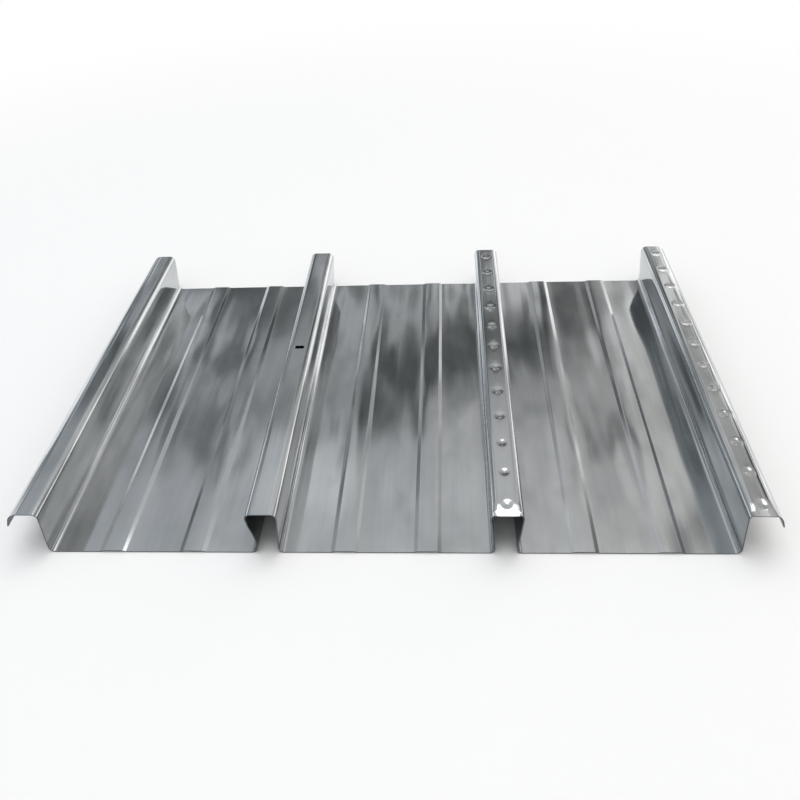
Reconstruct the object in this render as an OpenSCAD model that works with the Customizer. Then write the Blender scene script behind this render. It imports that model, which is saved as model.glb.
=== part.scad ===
// Composite floor deck sheet: one steel strip, rolled into flat pans between dovetail ribs.
// X runs across the ribs, Y along them and Z up. The origin is at the middle of the underside.

/* [Sheet] */
// Length of the sheet along its ribs
sheet_length = 425; // [200:5:1000]
// Thickness of the galvanised strip
sheet_t = 1; // [0.7:0.1:1.2]

/* [Ribs and pans] */
// Distance between the centres of two ribs
rib_pitch = 200; // [160:1:300]
// Number of pans
pan_count = 3; // [2:1:4]
// Depth of the deck, from the underside of the pans to the top of the ribs
deck_depth = 48; // [40:1:70]
// Outside width of a rib at its top
rib_top_w = 28; // [26:1:36]
// Outside width of a rib where its webs leave the pans
rib_base_w = 19; // [15:1:22]
// Inside radius of the bends of a rib
rib_bend_r = 4.5; // [2:0.5:6]

/* [Pan swages] */
// Distance from the middle of a pan to the middle of each of its two swages
swage_offset = 35; // [25:1:45]
// Width of a swage at its foot
swage_w = 23; // [16:1:28]
// Height of a swage above the pan
swage_h = 1.2; // [0.6:0.1:3]
// Width of each sloping side of a swage
swage_slope_w = 3.5; // [3:0.5:6]
// Inside radius of the bends of a swage
swage_bend_r = 2; // [1:0.5:2.5]

/* [Side edges] */
// Width of the edge flange beyond the centre of the edge rib
edge_flange_w = 11; // [10:0.5:20]
// How far the lip reaches down from the edge flange
lip_drop = 14; // [10:1:24]
// How far the lip flares outward
lip_flare = 5; // [2:0.5:8]
// Inside radius of the roll between flange and lip
lip_roll_r = 11; // [3:0.5:12]

/* [Rib-top dimples] */
// Number of ribs with dimples, counted from the right edge
dimpled_ribs = 2; // [1:1:3]
// Diameter of a dimple at the top of the rib
dimple_d = 8; // [6:0.5:12]
// Depth of a dimple
dimple_depth = 0.6; // [0.4:0.1:2]
// Distance between two dimples along a rib
dimple_spacing = 36; // [25:1:60]
// Distance from the front end of the sheet to the first dimple
dimple_first = 12; // [9:0.5:30]

/* [Rib-top slot] */
// Size of the slot in the top of the second rib, across the rib
slot_w = 9; // [4:0.5:12]
// Size of the slot along the rib
slot_l = 5; // [3:0.5:20]
// Place of the slot, as a share of the sheet's length from its front end
slot_place = 0.54; // [0.1:0.01:0.9]

/* [Hidden] */
$fn = 48;

galvanised_grey = "#9aa0a3";

// Largest angle of one facet of a bend
bend_step_angle = 10;

// The strip is drawn about its middle layer, half a thickness from each face.
half_t = sheet_t / 2;
pan_z = half_t;
flange_z = deck_depth - half_t;
rib_top_half = (rib_top_w - sheet_t) / 2;
rib_base_half = (rib_base_w - sheet_t) / 2;
rib_r = rib_bend_r + half_t;
swage_r = swage_bend_r + half_t;
lip_r = lip_roll_r + half_t;
swage_half = swage_w / 2;

// Centres of the pans, and of the ribs beside them. The first and the last rib are the edges.
pan_x = [for (i = [0:pan_count - 1]) (i - (pan_count - 1) / 2) * rib_pitch];
rib_x = [for (i = [0:pan_count]) (i - pan_count / 2) * rib_pitch];
last_rib_x = rib_x[pan_count];

// A dimple is a cap of a ball that stands above the rib, and the strip under it follows the cap.
dimple_r = (dimple_d * dimple_d / 4 + dimple_depth * dimple_depth) / (2 * dimple_depth);
dimple_centre_z = deck_depth + dimple_r - dimple_depth;
dimple_count = floor((sheet_length - dimple_first - dimple_d) / dimple_spacing) + 1;
dimple_y = [for (i = [0:dimple_count - 1]) dimple_first + i * dimple_spacing - sheet_length / 2];
dimpled_x = [for (i = [pan_count + 1 - dimpled_ribs:pan_count]) rib_x[i]];

// The slot is cut through the strip, with room above and below it.
slot_centre = [rib_x[1], (slot_place - 0.5) * sheet_length, flange_z];
slot_cut_h = 4 * sheet_t;

// The corners of the strip's middle layer, as [x, z, bend radius], where a sharp fold would be.
function rib_corners(x) = [
    [x - rib_base_half, pan_z, rib_r],
    [x - rib_top_half, flange_z, rib_r],
    [x + rib_top_half, flange_z, rib_r],
    [x + rib_base_half, pan_z, rib_r]
];

function swage_corners(x) = [
    [x - swage_half, pan_z, swage_r],
    [x - swage_half + swage_slope_w, pan_z + swage_h, swage_r],
    [x + swage_half - swage_slope_w, pan_z + swage_h, swage_r],
    [x + swage_half, pan_z, swage_r]
];

function pan_corners(x) = concat(swage_corners(x - swage_offset), swage_corners(x + swage_offset));

function edge_corners(x) = [
    [x - rib_base_half, pan_z, rib_r],
    [x - rib_top_half, flange_z, rib_r],
    [x + edge_flange_w, flange_z, lip_r],
    [x + edge_flange_w + lip_flare, flange_z - lip_drop, 0]
];

function reversed(list) = [for (i = [len(list) - 1:-1:0]) list[i]];

function mirrored(corners) = [for (c = reversed(corners)) [-c.x, c.y, c.z]];

right_edge = edge_corners(last_rib_x);
inner_corners = [
    for (i = [0:pan_count - 1])
        each concat(pan_corners(pan_x[i]), i < pan_count - 1 ? rib_corners(rib_x[i + 1]) : [])
];
corners = concat(mirrored(right_edge), inner_corners, right_edge);
last = len(corners) - 1;

// Direction of the leg from corner i to the next one, and the turn at corner i
function flat(c) = [c.x, c.y];
function leg(i) = let (v = flat(corners[i + 1]) - flat(corners[i])) v / norm(v);
function left_of(v) = [-v.y, v.x];
function turned(v, a) = [v.x * cos(a) - v.y * sin(a), v.x * sin(a) + v.y * cos(a)];
function turn(i) = atan2(cross(leg(i - 1), leg(i)), leg(i - 1) * leg(i));

// One face of the strip around the bend at corner i, on the given side of the middle layer
function bend_points(i, side) =
    let (
        a = turn(i),
        r = corners[i].z,
        way = sign(a),
        start = flat(corners[i]) - leg(i - 1) * r * tan(abs(a) / 2),
        spoke = -way * left_of(leg(i - 1)),
        centre = start - r * spoke,
        steps = ceil(abs(a) / bend_step_angle)
    )
    [for (k = [0:steps]) centre + (r - way * side) * turned(spoke, a * k / steps)];

function strip_face(side) = concat(
    [flat(corners[0]) + side * left_of(leg(0))],
    [for (i = [1:last - 1]) each bend_points(i, side)],
    [flat(corners[last]) + side * left_of(leg(last - 1))]
);

module strip_section() {
    polygon(concat(strip_face(half_t), reversed(strip_face(-half_t))));
}

module at_each_dimple() {
    for (x = dimpled_x, y = dimple_y)
        translate([x, y, dimple_centre_z])
            children();
}

// The strip pushed down under a dimple, cut off inside the thickness of the flange
module dimple_back() {
    outer_r = dimple_r + sheet_t;
    intersection() {
        sphere(outer_r);
        translate([0, 0, -outer_r])
            cylinder(r = outer_r, h = dimple_depth + half_t);
    }
}

module deck_sheet() {
    color(galvanised_grey)
        difference() {
            union() {
                rotate([90, 0, 0])
                    linear_extrude(height = sheet_length, center = true)
                        strip_section();
                at_each_dimple() dimple_back();
            }
            at_each_dimple() sphere(dimple_r);
            translate(slot_centre) cube([slot_w, slot_l, slot_cut_h], center = true);
        }
}

deck_sheet();
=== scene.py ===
import math

import bpy
import numpy as np
from mathutils import Matrix, Vector, noise


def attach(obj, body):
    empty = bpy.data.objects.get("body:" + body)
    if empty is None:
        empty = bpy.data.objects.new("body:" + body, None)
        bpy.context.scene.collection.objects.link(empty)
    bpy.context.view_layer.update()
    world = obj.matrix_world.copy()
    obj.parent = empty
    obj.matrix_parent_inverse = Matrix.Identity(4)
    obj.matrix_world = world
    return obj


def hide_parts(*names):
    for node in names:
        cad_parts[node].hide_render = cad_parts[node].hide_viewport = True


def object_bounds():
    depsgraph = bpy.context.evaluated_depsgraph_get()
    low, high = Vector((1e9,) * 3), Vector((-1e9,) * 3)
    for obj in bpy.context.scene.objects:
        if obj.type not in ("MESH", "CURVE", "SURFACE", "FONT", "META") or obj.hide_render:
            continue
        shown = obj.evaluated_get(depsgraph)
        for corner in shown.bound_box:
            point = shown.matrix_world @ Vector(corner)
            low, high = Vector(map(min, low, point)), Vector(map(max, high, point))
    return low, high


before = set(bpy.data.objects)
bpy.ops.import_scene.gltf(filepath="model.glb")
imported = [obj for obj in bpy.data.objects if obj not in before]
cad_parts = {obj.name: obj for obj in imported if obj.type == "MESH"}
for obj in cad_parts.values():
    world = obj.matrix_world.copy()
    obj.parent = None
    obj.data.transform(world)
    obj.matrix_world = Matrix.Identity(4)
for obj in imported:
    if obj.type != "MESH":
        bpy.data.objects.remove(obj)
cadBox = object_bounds()
mm = 0.001
white = (1, 1, 1, 1)
print("frame loaded")


def hexColour(text):  # sRGB hex to the linear values that the shaders take
    channels = [int(text[i:i + 2], 16) / 255 for i in (1, 3, 5)]
    return tuple(c / 12.92 if c <= 0.04045 else ((c + 0.055) / 1.055) ** 2.4 for c in channels) + (1,)


def newMaterial(name):  # a material with an empty node tree
    material = bpy.data.materials.new(name)
    material.use_nodes = True
    material.node_tree.nodes.clear()
    return material


def addNode(tree, kind, settings=None, links=None):  # one node, its settings and what feeds its sockets
    new = tree.nodes.new(kind)
    for name, value in (settings or {}).items():
        if isinstance(name, int) or name in new.inputs:
            new.inputs[name].default_value = value
        else:
            setattr(new, name, value)
    for socket, source in (links or {}).items():
        tree.links.new(source, new.inputs[socket])
    return new


def setRamp(rampNode, stops):  # colour ramp stops as (place, grey value)
    ramp = rampNode.color_ramp
    while len(ramp.elements) < len(stops):
        ramp.elements.new(0.5)
    for element, (place, value) in zip(ramp.elements, stops):
        element.position = place
        element.color = (value, value, value, 1)


def addObject(name, data):
    new = bpy.data.objects.new(name, data)
    bpy.context.scene.collection.objects.link(new)
    return new


# one galvanised strip, rolled: sizes in mm, as the roll former lists them
deckSheet = {
    "length": round((cadBox[1][1] - cadBox[0][1]) / mm, 3),  # the frame gives length and depth
    "depth": round((cadBox[1][2] - cadBox[0][2]) / mm, 3),
    "thickness": 1.0, "pitch": 200, "pans": 3,
    "ribTop": 28, "ribBase": 19, "ribBend": 4.5,
    "swageOffset": 35, "swageWidth": 23, "swageHeight": 1.2, "swageSlope": 3.5, "swageBend": 2,
    "edgeFlange": 11, "lipDrop": 14, "lipFlare": 5, "lipRoll": 11,
    "dimpledRibs": 2, "dimpleWidth": 8, "dimpleDepth": 0.6, "dimpleRim": 2.2,
    "dimpleSpacing": 36, "dimpleFirst": 12,
    "slotWidth": 9, "slotLength": 5, "slotPlace": 0.54,
    "sagReach": 13, "sagDrop": 1.4,  # the shear pulled the front ends of the dimpled ribs down
    "sagAlong": 1.3, "sagAcross": 4,  # powers that shape the sag
    "dentDepth": 2.2, "dentReach": 22,  # knock in the second rib's left web, at the front
    "dentHeight": 18, "dentSpread": 10,
    "panWave": 0.45, "webWave": 0.25, "waveAcross": 55, "waveAlong": 130,  # oil-canning left by the rolls
    "panEase": 25, "webFoot": 4, "webHead": 6,  # where the waves of pans and webs begin and end
    "bendStep": 16, "sharpAngle": 40,  # degrees per facet of a bend, and from where an edge is sharp
    "flangeLevel": 0.95,  # upward share of the normal, above which a flange counts as level
    "flatCut": 9, "dimpleCuts": 6,  # longest cut of a flat, and cuts across a dimple
    "dimpleSpread": (-1.55, -1.2, -0.8, -0.4, 0, 0.4, 0.8, 1.2, 1.55),  # stations, in halves of a dimple
    "gapSpread": (0.35, 0.5, 0.65), "sagSpread": (0, 0.14, 0.28, 0.4),  # in shares of the spacing and the sag
    "lastGap": 2,  # least distance of a station from the back end
}


def sectionCorners(s):  # corners of the strip's middle layer, (x, z, bend radius), from left lip to right lip
    low, high = s["thickness"] / 2, s["depth"] - s["thickness"] / 2
    top, base = (s["ribTop"] - s["thickness"]) / 2, (s["ribBase"] - s["thickness"]) / 2
    ribR, swageR, lipR = (s[k] + s["thickness"] / 2 for k in ("ribBend", "swageBend", "lipRoll"))
    half, slope, crest = s["swageWidth"] / 2, s["swageSlope"], low + s["swageHeight"]
    edge = s["pans"] / 2 * s["pitch"]
    lip = edge + s["edgeFlange"]
    rightEdge = [(edge - base, low, ribR), (edge - top, high, ribR),
                 (lip, high, lipR), (lip + s["lipFlare"], high - s["lipDrop"], 0)]
    corners = [(-x, z, r) for x, z, r in reversed(rightEdge)]
    for pan in range(s["pans"]):
        middle = (pan - (s["pans"] - 1) / 2) * s["pitch"]
        for x in (middle - s["swageOffset"], middle + s["swageOffset"]):
            corners += [(x - half, low, swageR), (x - half + slope, crest, swageR),
                        (x + half - slope, crest, swageR), (x + half, low, swageR)]
        if pan < s["pans"] - 1:
            x = middle + s["pitch"] / 2
            corners += [(x - base, low, ribR), (x - top, high, ribR),
                        (x + top, high, ribR), (x + base, low, ribR)]
    return corners + rightEdge


def isFlange(s, z):  # on the top of a rib or an edge
    return z > s["depth"] - 2 * s["thickness"]


def bendPoints(s, before, corner, after, radius):  # the round bend in place of a corner
    legIn, legOut = (corner - before).normalized(), (after - corner).normalized()
    turn = math.atan2(legIn.x * legOut.y - legIn.y * legOut.x, legIn.dot(legOut))
    start = corner - legIn * radius * math.tan(abs(turn) / 2)
    spoke = Vector((legIn.y, -legIn.x)) * math.copysign(1, turn)
    centre = start - spoke * radius
    steps = math.ceil(abs(math.degrees(turn)) / s["bendStep"])
    return [centre + Matrix.Rotation(turn * k / steps, 2) @ spoke * radius for k in range(steps + 1)]


def sectionPoints(s):  # the middle layer as points: round bends, and flats cut finely enough for their detail
    rolled = sectionCorners(s)
    corners = [Vector((x, z)) for x, z, r in rolled]
    points = [corners[0]]
    for i in range(1, len(corners)):
        bend = [corners[i]]
        if i < len(corners) - 1:
            bend = bendPoints(s, corners[i - 1], corners[i], corners[i + 1], rolled[i][2])
        onFlange = isFlange(s, min(points[-1].y, bend[0].y))
        cut = s["dimpleWidth"] / s["dimpleCuts"] if onFlange else s["flatCut"]
        flat = bend[0] - points[-1]
        pieces = max(1, round(flat.length / cut))
        points += [points[-1] + flat * k / pieces for k in range(1, pieces)] + bend
    return points


def ribPlaces(s):  # the first and the last rib are the edges
    return [(i - s["pans"] / 2) * s["pitch"] for i in range(s["pans"] + 1)]


def dimplePlaces(s):
    count = int((s["length"] - s["dimpleFirst"] - s["dimpleWidth"]) // s["dimpleSpacing"]) + 1
    return [s["dimpleFirst"] + i * s["dimpleSpacing"] for i in range(count)]


def stations(s):  # places along the sheet, close together in the sag and over the dimples
    places = [s["sagReach"] * f for f in s["sagSpread"]]
    for y in dimplePlaces(s):
        places += [y + s["dimpleWidth"] / 2 * f for f in s["dimpleSpread"]]
        places += [y + s["dimpleSpacing"] * f for f in s["gapSpread"]]
    return [y for y in places if y < s["length"] - s["lastGap"]] + [s["length"]]


def stripGrid(s):  # section points and stations, of which the nearest move to the slot's sides and ends
    section, places = sectionPoints(s), stations(s)
    slotX, slotY = ribPlaces(s)[1], s["slotPlace"] * s["length"]
    sides = [slotX - s["slotWidth"] / 2, slotX + s["slotWidth"] / 2]
    ends = [slotY - s["slotLength"] / 2, slotY + s["slotLength"] / 2]
    flange = [i for i, p in enumerate(section) if isFlange(s, p.y)]
    slotRows = [min(flange, key=lambda i: abs(section[i].x - x)) for x in sides]
    slotColumns = [min(range(len(places)), key=lambda j: abs(places[j] - y)) for y in ends]
    for i, x in zip(slotRows, sides):
        section[i].x = x
    for j, y in zip(slotColumns, ends):
        places[j] = y
    return section, places, slotRows, slotColumns


def dimpleDrop(s, away):  # how far the flange is pressed down, at a distance from a dimple's middle
    reach = s["dimpleWidth"] / 2 + s["dimpleRim"]
    return s["dimpleDepth"] * (1 + math.cos(math.pi * min(away / reach, 1))) / 2


def sagDrop(s, fromRib, y):
    along = max(0, 1 - y / s["sagReach"]) ** s["sagAlong"]
    return s["sagDrop"] * along * max(0, 1 - (2 * fromRib / s["ribTop"]) ** s["sagAcross"])


def dentDrop(s, z, y):
    away = ((z - s["dentHeight"]) / s["dentSpread"]) ** 2 + (y / s["dentReach"]) ** 2
    return s["dentDepth"] * math.exp(-away)


def standOff(s, p, level, y):  # how far the strip stands off its rolled shape at a point of the section
    ribs = ribPlaces(s)
    rib = min(ribs, key=lambda x: abs(x - p.x))
    fromRib = abs(p.x - rib)
    wave = noise.noise(Vector((p.x / s["waveAcross"], y / s["waveAlong"], p.y / s["waveAcross"])))
    inPan = max(0, min(1, (fromRib - s["ribTop"] / 2) / s["panEase"]))
    push = (1 + wave) / 2 * s["panWave"] * inPan
    if s["webFoot"] < p.y < s["depth"] - s["webHead"] and fromRib < s["ribTop"]:
        push += wave * s["webWave"]
        if rib == ribs[1] and p.x < rib:
            push -= dentDrop(s, p.y, y)
    if level and rib in ribs[-s["dimpledRibs"]:]:
        near = min(dimplePlaces(s), key=lambda d: abs(d - y))
        push -= dimpleDrop(s, math.hypot(p.x - rib, y - near)) + sagDrop(s, fromRib, y)
    return push


def middleLayer(s, section, places):
    layer = np.zeros((len(section), len(places), 3))
    for i, p in enumerate(section):
        along = (section[min(i + 1, len(section) - 1)] - section[max(i - 1, 0)]).normalized()
        normal = Vector((-along.y, along.x))
        level = isFlange(s, p.y) and normal.y > s["flangeLevel"]
        for j, y in enumerate(places):
            push = standOff(s, p, level, y)
            layer[i, j] = p.x + normal.x * push, y - s["length"] / 2, p.y + normal.y * push
    return layer


def ringRound(columns, rowEnds, columnEnds):  # numbers of the points round a rectangle of the grid
    (i0, i1), (j0, j1) = rowEnds, columnEnds
    ring = [i * columns + j0 for i in range(i0, i1)] + [i1 * columns + j for j in range(j0, j1)]
    ring += [i * columns + j1 for i in range(i1, i0, -1)] + [i0 * columns + j for j in range(j1, j0, -1)]
    return ring


def skinFaces(rows, columns, slotRows, slotColumns):  # upper and lower face by turns, with the slot left open
    size = rows * columns
    faces = []
    for i in range(rows - 1):
        for j in range(columns - 1):
            if slotRows[0] <= i < slotRows[1] and slotColumns[0] <= j < slotColumns[1]:
                continue
            a = i * columns + j
            b = a + columns
            faces += [(a, b, b + 1, a + 1), (a + size, a + 1 + size, b + 1 + size, b + size)]
    return faces


def cutFaces(rows, columns, slotRows, slotColumns):  # the cut edge round the sheet and in the slot
    size = rows * columns
    outside = ringRound(columns, (0, rows - 1), (0, columns - 1))
    slot = ringRound(columns, slotRows, slotColumns)[::-1]
    return [(b, a, a + size, b + size) for ring in (outside, slot) for a, b in zip(ring, ring[1:] + ring[:1])]


def buildSheet(s):
    section, places, slotRows, slotColumns = stripGrid(s)
    rows, columns = len(section), len(places)
    middle = middleLayer(s, section, places)
    normals = np.cross(np.gradient(middle, axis=0), np.gradient(middle, axis=1))
    normals *= s["thickness"] / 2 / np.linalg.norm(normals, axis=2, keepdims=True)
    verts = np.concatenate([(middle + normals).reshape(-1, 3), (middle - normals).reshape(-1, 3)]) * mm
    skins = skinFaces(rows, columns, slotRows, slotColumns)
    cuts = cutFaces(rows, columns, slotRows, slotColumns)
    mesh = bpy.data.meshes.new("rolledDeckSheet")
    mesh.from_pydata([tuple(v) for v in verts], [], skins + cuts)
    # upper skin takes the zinc, the cuts the bare edge, the lower skin the zinc darkened as painted shade
    mesh.polygons.foreach_set("material_index", [0, 2] * (len(skins) // 2) + [1] * len(cuts))
    mesh.polygons.foreach_set("use_smooth", [True] * (len(skins) + len(cuts)))
    mesh.set_sharp_from_angle(angle=math.radians(s["sharpAngle"]))
    mesh.update()
    return addObject("rolled_deck_sheet", mesh)


# hot-dip galvanised strip: pale zinc with a soft mirror, buckled a little by the rolls, streaked along them
# and smudged where it was handled
galvanisedSteel = {
    "name": "hot-dip galvanised steel",
    "colour": "#d4d7d9", "darkColour": "#bcc0c2", "smudgeColour": "#949998",
    "roughness": 0.11, "roughnessSpread": 0.06, "smudgeRoughness": 0.1,
    "patterns": {  # mm across, mm along, detail
        "streak": (5, 160, 2), "cloud": (60, 120, 4), "buckle": (40, 130, 1), "smudge": (45, 80, 2),
    },
    "patternRoughness": 0.55,
    "streakShare": 0.2, "toneRange": (0.36, 0.84),  # clouds with a share of streaks, from dark to pale
    "polishRange": (0.3, 0.7), "smudgeRange": (0.55, 0.8), "smudgeMost": 0.5,
    "streakHeight": 0.022, "buckleHeight": 1.3,  # mm
}

# the side that lay on the rolls: the same zinc, rougher, with its colours darkened as painted shade so that
# the hollows of the ribs stay dark
undersideWithPaintedShade = {
    **galvanisedSteel, "name": "hot-dip galvanised steel, underside with painted shade",
    "colour": "#8b9092", "darkColour": "#6b7072", "smudgeColour": "#5d6160", "roughness": 0.34,
}


def galvanisedMaterial(g):
    material = newMaterial(g["name"])
    tree = material.node_tree
    place = addNode(tree, "ShaderNodeTexCoord").outputs["Object"]
    noiseOf = {}
    for name, (across, along, detail) in g["patterns"].items():
        perMetre = (1 / mm / across, 1 / mm / along, 1 / mm / across)
        cells = addNode(tree, "ShaderNodeMapping", {"Scale": perMetre}, {"Vector": place})
        pattern = addNode(tree, "ShaderNodeTexNoise",
                          {"Scale": 1, "Detail": detail, "Roughness": g["patternRoughness"]},
                          {"Vector": cells.outputs["Vector"]})
        noiseOf[name] = pattern.outputs["Fac"]
    tone = addNode(tree, "ShaderNodeMath", {"operation": "MULTIPLY_ADD", 1: g["streakShare"]},
                   {0: noiseOf["streak"], 2: noiseOf["cloud"]})
    spread = addNode(tree, "ShaderNodeMapRange",
                     {"From Min": g["toneRange"][0], "From Max": g["toneRange"][1]},
                     {"Value": tone.outputs["Value"]})
    zinc = addNode(tree, "ShaderNodeMix",
                   {"data_type": "RGBA", 6: hexColour(g["darkColour"]), 7: hexColour(g["colour"])},
                   {"Factor": spread.outputs["Result"]})
    smudge = addNode(tree, "ShaderNodeMapRange",
                     {"From Min": g["smudgeRange"][0], "From Max": g["smudgeRange"][1],
                      "To Max": g["smudgeMost"]}, {"Value": noiseOf["smudge"]})
    colour = addNode(tree, "ShaderNodeMix", {"data_type": "RGBA", 7: hexColour(g["smudgeColour"])},
                     {"Factor": smudge.outputs["Result"], 6: zinc.outputs[2]})
    polish = addNode(tree, "ShaderNodeMapRange",
                     {"From Min": g["polishRange"][0], "From Max": g["polishRange"][1],
                      "To Min": g["roughness"] - g["roughnessSpread"] / 2,
                      "To Max": g["roughness"] + g["roughnessSpread"] / 2}, {"Value": noiseOf["cloud"]})
    rough = addNode(tree, "ShaderNodeMath", {"operation": "MULTIPLY_ADD", 1: g["smudgeRoughness"]},
                    {0: smudge.outputs["Result"], 2: polish.outputs["Result"]})
    fine = addNode(tree, "ShaderNodeMath", {"operation": "MULTIPLY", 1: g["streakHeight"]},
                   {0: noiseOf["streak"]})
    height = addNode(tree, "ShaderNodeMath", {"operation": "MULTIPLY_ADD", 1: g["buckleHeight"]},
                     {0: noiseOf["buckle"], 2: fine.outputs["Value"]})
    bump = addNode(tree, "ShaderNodeBump", {"Strength": 1, "Distance": mm},
                   {"Height": height.outputs["Value"]})
    shader = addNode(tree, "ShaderNodeBsdfPrincipled", {"Metallic": 1},
                     {"Base Color": colour.outputs[2], "Roughness": rough.outputs["Value"],
                      "Normal": bump.outputs["Normal"]})
    addNode(tree, "ShaderNodeOutputMaterial", None, {"Surface": shader.outputs["BSDF"]})
    return material


# sheared edge: bare steel, duller and darker than the zinc, with a fine grain
shearedEdge = {
    "name": "sheared steel edge", "colour": "#6e7274", "darkColour": "#54585a",
    "roughness": 0.45, "grain": 0.8, "detail": 2,  # grain in mm
}


def shearedMaterial(g):
    material = newMaterial(g["name"])
    tree = material.node_tree
    place = addNode(tree, "ShaderNodeTexCoord").outputs["Object"]
    grain = addNode(tree, "ShaderNodeTexNoise", {"Scale": 1 / mm / g["grain"], "Detail": g["detail"]},
                    {"Vector": place})
    colour = addNode(tree, "ShaderNodeMix",
                     {"data_type": "RGBA", 6: hexColour(g["darkColour"]), 7: hexColour(g["colour"])},
                     {"Factor": grain.outputs["Fac"]})
    shader = addNode(tree, "ShaderNodeBsdfPrincipled", {"Metallic": 1, "Roughness": g["roughness"]},
                     {"Base Color": colour.outputs[2]})
    addNode(tree, "ShaderNodeOutputMaterial", None, {"Surface": shader.outputs["BSDF"]})
    return material


sheet = buildSheet(deckSheet)
sheet.data.materials.append(galvanisedMaterial(galvanisedSteel))
sheet.data.materials.append(shearedMaterial(shearedEdge))
# lower skin: the zinc with darkened colours, painted shade for the hollows of the ribs
sheet.data.materials.append(galvanisedMaterial(undersideWithPaintedShade))
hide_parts("deck_sheet")
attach(sheet, "root")
print("sheet rolled:", len(sheet.data.polygons), "faces")


# white paper: keeps the shadow round the sheet and fades into the white backdrop further out, in metres
paperFloor = {
    "name": "white paper floor", "colour": "#fbfbfb", "roughness": 0.9,
    "reach": 12, "fadeFrom": 0.5, "fadeTo": 1.6,
}


def paperMaterial(g):
    material = newMaterial(g["name"])
    tree = material.node_tree
    place = addNode(tree, "ShaderNodeTexCoord").outputs["Object"]
    away = addNode(tree, "ShaderNodeVectorMath", {"operation": "LENGTH"}, {0: place})
    fade = addNode(tree, "ShaderNodeMapRange",
                   {"interpolation_type": "SMOOTHSTEP", "From Min": g["fadeFrom"], "From Max": g["fadeTo"]},
                   {"Value": away.outputs["Value"]})
    paper = addNode(tree, "ShaderNodeBsdfPrincipled",
                    {"Base Color": hexColour(g["colour"]), "Roughness": g["roughness"]})
    backdrop = addNode(tree, "ShaderNodeEmission", {"Color": white, "Strength": 1})
    mixed = addNode(tree, "ShaderNodeMixShader", None,
                    {0: fade.outputs["Result"], 1: paper.outputs["BSDF"], 2: backdrop.outputs["Emission"]})
    addNode(tree, "ShaderNodeOutputMaterial", None, {"Surface": mixed.outputs["Shader"]})
    return material


def buildFloor(g):
    mesh = bpy.data.meshes.new("floor")
    r = g["reach"]
    mesh.from_pydata([(-r, -r, 0), (r, -r, 0), (r, r, 0), (-r, r, 0)], [], [(0, 1, 2, 3)])
    mesh.materials.append(paperMaterial(g))
    floor = addObject("floor", mesh)


buildFloor(paperFloor)


# light tent: a white dome, greyer on its far side, which is the side that the pans mirror. Dark flags hang
# there, with lighter openings between them
lightTent = {
    "name": "tent cloth", "radius": 4.0, "steps": 48, "rings": 16,  # radius in metres
    "leftTint": "#f6faff", "rightTint": "#fffcf8", "flagTint": "#9aa5a3", "sideRange": (-0.5, 0.5),
    "around": 0.95, "patch": 0.9, "patchDark": 0.5, "patchRange": (0.40, 0.56),  # cloth on the near side
    "patchRoughness": 0.5, "patchDistortion": 0.6,
    "behindRange": (0.25, 0.55),  # where the near side turns into the far side
    "farSide": [  # sine of height, light
        (0.0, 1.15), (0.3, 0.88), (0.44, 0.42), (0.54, 0.41),
        (0.62, 0.47), (0.72, 0.56), (0.80, 0.65), (1.0, 0.9),
    ],
    "flags": [  # turn from straight behind, height and reach in degrees, share of the light let through
        (-28, 40, 3.2, 0.55), (-23, 34.5, 2.7, 0.5), (-19, 39.5, 2.5, 0.7), (-13, 41, 2.5, 0.9),
        (-7, 41, 3, 0.3), (-2, 37, 3, 0.35), (4, 35.5, 3, 0.4), (10, 35, 3, 0.4),
        (19, 41, 2.5, 0.5), (35, 46.5, 3.5, 0.6), (47, 29, 6, 0.6), (-40, 13, 12, 0.6),
        (-35, 33, 5, 0.65), (14, 30.5, 4.5, 0.62),
    ],
    "openings": [  # the same, with more light than the cloth gives
        (35, 31, 6.5, 1.7), (25, 14, 8, 1.35), (42, 14, 7, 1.3), (-23, 29, 8, 1.05),
        (5, 29, 4, 1.5), (22, 33, 4.5, 1.7), (27, 42, 4.5, 1.4), (-20.5, 46, 3.5, 1.2),
        (6.5, 45.5, 3.5, 1.15), (-15, 45.5, 4, 1.35),
    ],
    "flagEdge": (0.7, 1.2), "ragged": 3.0, "raggedShift": 0.16,  # soft and uneven outlines
    "clutter": 0.34, "clutterStretch": (1, 1, 0.5), "clutterRange": (0.42, 0.58),  # stands and posts low down
    "clutterLight": (0.45, 1.6), "skyline": (0.5, 0.58), "detail": 3, "clutterDetail": 2,
}


def domeMesh(g):
    mesh = bpy.data.meshes.new("lightTent")
    steps, rings = g["steps"], g["rings"]
    verts = [(0, 0, g["radius"])]
    for ring in range(1, rings + 1):
        tilt = math.pi / 2 * ring / rings
        out, up = g["radius"] * math.sin(tilt), g["radius"] * math.cos(tilt)
        for k in range(steps):
            turn = 2 * math.pi * k / steps
            verts.append((out * math.cos(turn), out * math.sin(turn), up))
    faces = [(0, 1 + k, 1 + (k + 1) % steps) for k in range(steps)]
    for ring in range(rings - 1):
        for k in range(steps):
            a, b = 1 + ring * steps + k, 1 + ring * steps + (k + 1) % steps
            faces.append((a, a + steps, b + steps, b))
    mesh.from_pydata(verts, [], faces)
    return mesh


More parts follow.
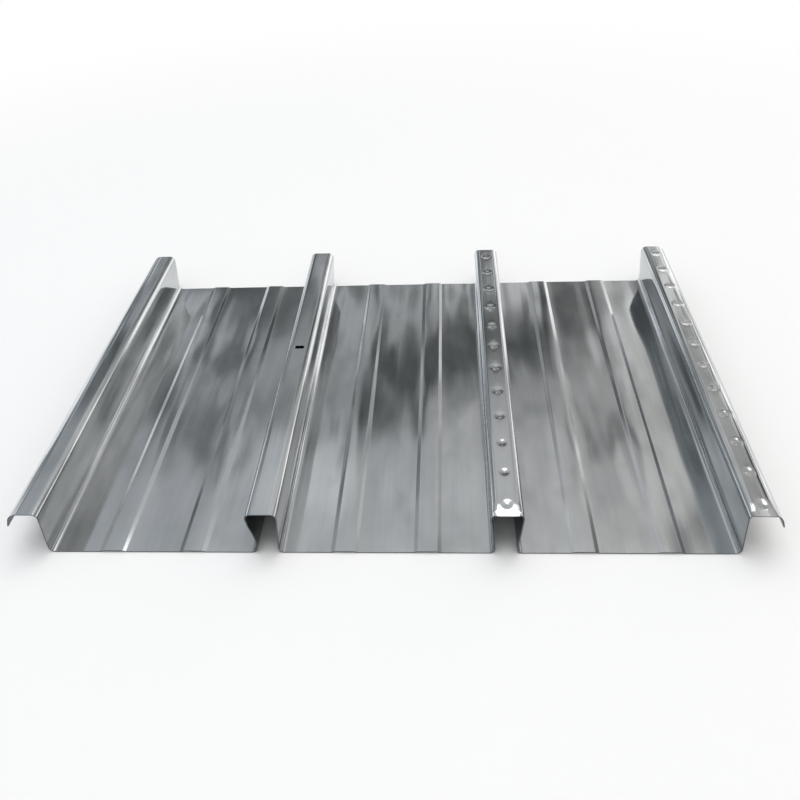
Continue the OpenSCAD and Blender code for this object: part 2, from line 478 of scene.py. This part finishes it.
def clothColour(tree, g, place, axes):  # greyer on the far side, cool on the left and warm on the right
    far = addNode(tree, "ShaderNodeValToRGB", None, {"Fac": axes.outputs["Z"]})
    setRamp(far, g["farSide"])
    patch = addNode(tree, "ShaderNodeTexNoise",
                    {"Scale": 1 / g["patch"], "Detail": g["detail"], "Roughness": g["patchRoughness"],
                     "Distortion": g["patchDistortion"]}, {"Vector": place})
    near = addNode(tree, "ShaderNodeMapRange",
                   {"From Min": g["patchRange"][0], "From Max": g["patchRange"][1],
                    "To Min": g["around"] * g["patchDark"], "To Max": g["around"]},
                   {"Value": patch.outputs["Fac"]})
    behind = addNode(tree, "ShaderNodeMapRange",
                     {"From Min": g["behindRange"][0], "From Max": g["behindRange"][1]},
                     {"Value": axes.outputs["Y"]})
    level = addNode(tree, "ShaderNodeMix", {"data_type": "RGBA"},
                    {"Factor": behind.outputs["Result"], 6: near.outputs["Result"], 7: far.outputs["Color"]})
    side = addNode(tree, "ShaderNodeMapRange",
                   {"From Min": g["sideRange"][0], "From Max": g["sideRange"][1]},
                   {"Value": axes.outputs["X"]})
    tint = addNode(tree, "ShaderNodeMix",
                   {"data_type": "RGBA", 6: hexColour(g["leftTint"]), 7: hexColour(g["rightTint"])},
                   {"Factor": side.outputs["Result"]})
    cloth = addNode(tree, "ShaderNodeMix", {"data_type": "RGBA", "blend_type": "MULTIPLY", "Factor": 1},
                    {6: level.outputs[2], 7: tint.outputs[2]})
    return cloth.outputs[2]


def clutterLight(tree, g, place, axes):  # light and dark uprights below the skyline
    upright = addNode(tree, "ShaderNodeVectorMath", {"operation": "MULTIPLY", 1: g["clutterStretch"]},
                      {0: place})
    posts = addNode(tree, "ShaderNodeTexNoise", {"Scale": 1 / g["clutter"], "Detail": g["clutterDetail"]},
                    {"Vector": upright.outputs["Vector"]})
    contrast = addNode(tree, "ShaderNodeMapRange",
                       {"From Min": g["clutterRange"][0], "From Max": g["clutterRange"][1],
                        "To Min": g["clutterLight"][0], "To Max": g["clutterLight"][1]},
                       {"Value": posts.outputs["Fac"]})
    below = addNode(tree, "ShaderNodeMapRange",
                    {"From Min": g["skyline"][0], "From Max": g["skyline"][1], "To Min": 1, "To Max": 0},
                    {"Value": axes.outputs["Z"]})
    low = addNode(tree, "ShaderNodeMix", {"data_type": "FLOAT", 2: 1},
                  {0: below.outputs["Result"], 3: contrast.outputs["Result"]})
    return low.outputs[0]


def tentMaterial(g):
    material = newMaterial(g["name"])
    tree = material.node_tree
    place = addNode(tree, "ShaderNodeTexCoord").outputs["Object"]
    unit = addNode(tree, "ShaderNodeVectorMath", {"operation": "SCALE", "Scale": 1 / g["radius"]}, {0: place})
    axes = addNode(tree, "ShaderNodeSeparateXYZ", None, {"Vector": unit.outputs[0]})
    cloth = clothColour(tree, g, place, axes)
    light = clutterLight(tree, g, place, axes)
    ragged = addNode(tree, "ShaderNodeTexNoise", {"Scale": g["ragged"], "Detail": g["detail"]},
                     {"Vector": place})
    shift = Vector((1, 1, 1)) * g["raggedShift"]
    shifted = addNode(tree, "ShaderNodeVectorMath", {"operation": "MULTIPLY_ADD", 1: shift},
                      {0: ragged.outputs["Color"], 2: unit.outputs[0]})
    for turn, height, reach, through in g["flags"] + g["openings"]:
        turn, height, reach = math.radians(turn), math.radians(height), math.radians(reach)
        flat = math.cos(height)
        aim = Vector((flat * math.sin(turn), flat * math.cos(turn), math.sin(height))) + shift / 2
        away = addNode(tree, "ShaderNodeVectorMath", {"operation": "DISTANCE", 1: aim},
                       {0: shifted.outputs["Vector"]})
        flag = addNode(tree, "ShaderNodeMapRange",
                       {"interpolation_type": "SMOOTHSTEP", "From Min": reach * g["flagEdge"][0],
                        "From Max": reach * g["flagEdge"][1], "To Min": through, "To Max": 1},
                       {"Value": away.outputs["Value"]})
        both = addNode(tree, "ShaderNodeMath", {"operation": "MULTIPLY"},
                       {0: light, 1: flag.outputs["Result"]})
        light = both.outputs["Value"]
    shade = addNode(tree, "ShaderNodeMix", {"data_type": "RGBA", 6: hexColour(g["flagTint"]), 7: white},
                    {"Factor": light})
    colour = addNode(tree, "ShaderNodeMix", {"data_type": "RGBA", "blend_type": "MULTIPLY", "Factor": 1},
                     {6: cloth, 7: shade.outputs[2]})
    glow = addNode(tree, "ShaderNodeEmission", None, {"Color": colour.outputs[2], "Strength": light})
    addNode(tree, "ShaderNodeOutputMaterial", None, {"Surface": glow.outputs["Emission"]})
    return material


def buildTent(g):
    tent = addObject("light_tent", domeMesh(g))
    tent.data.materials.append(tentMaterial(g))
    tent.visible_camera = False
    tent.visible_shadow = False


buildTent(lightTent)
print("floor and light tent set")


# lamps in the tent: the bends mirror the window and the dimples mirror the small boxes. The key isn't
# mirrored, so it lights the floor alone
studioLamps = {  # place and size in metres, power in watts
    "right window": {"place": (1.6, 3.26, 1.04), "size": (1.3, 1.6), "power": 2.2, "mirrored": True},
    "small overhead box": {"place": (0.3, 1.42, 2.96), "size": (0.75, 0.7), "power": 2.8, "mirrored": True},
    "small right box": {"place": (1.19, 1.41, 2.74), "size": (0.55, 0.5), "power": 1.5, "mirrored": True},
    "overhead key": {"place": (0, 0, 3.7), "size": (3, 3), "power": 49, "mirrored": False},
}


def softBox(name, g):  # an area lamp that looks at the sheet
    light = bpy.data.lights.new(name, "AREA")
    light.shape = "RECTANGLE"
    light.size, light.size_y = g["size"]
    light.energy = g["power"]
    lamp = addObject(name, light)
    lamp.location = g["place"]
    lamp.rotation_euler = (Vector((0, 0, 0)) - Vector(g["place"])).to_track_quat("-Z", "Y").to_euler()
    lamp.visible_glossy = g["mirrored"]


for lampName, lampSettings in studioLamps.items():
    softBox(lampName, lampSettings)

world = bpy.data.worlds.new("studio white")
bpy.context.scene.world = world
world.use_nodes = True
backing = world.node_tree.nodes["Background"]
backing.inputs["Color"].default_value = white
backing.inputs["Strength"].default_value = 1
print("lights set")


# camera worked out from the sheet's corners in the photograph: mm, degrees, and focal length in its pixels
photoCamera = {
    "place": (53.9, -620.4, 510.5), "down": 39.931, "yaw": -4.764, "roll": -3.58,
    "focalPixels": 765.2, "photoPixels": 800, "sensor": 36, "clipStart": 0.01,
}


def setCamera(g):
    data = bpy.data.cameras.new("photo camera")
    data.sensor_width = g["sensor"]
    data.lens = g["focalPixels"] / g["photoPixels"] * g["sensor"]
    data.clip_start = g["clipStart"]
    camera = addObject("photo camera", data)
    camera.matrix_world = (Matrix.Translation(Vector(g["place"]) * mm)
                           @ Matrix.Rotation(math.radians(-g["yaw"]), 4, "Z")
                           @ Matrix.Rotation(math.radians(90 - g["down"]), 4, "X")
                           @ Matrix.Rotation(math.radians(g["roll"]), 4, "Z"))
    bpy.context.scene.camera = camera


setCamera(photoCamera)
bpy.context.scene.view_settings.view_transform = "Standard"
print("camera set")
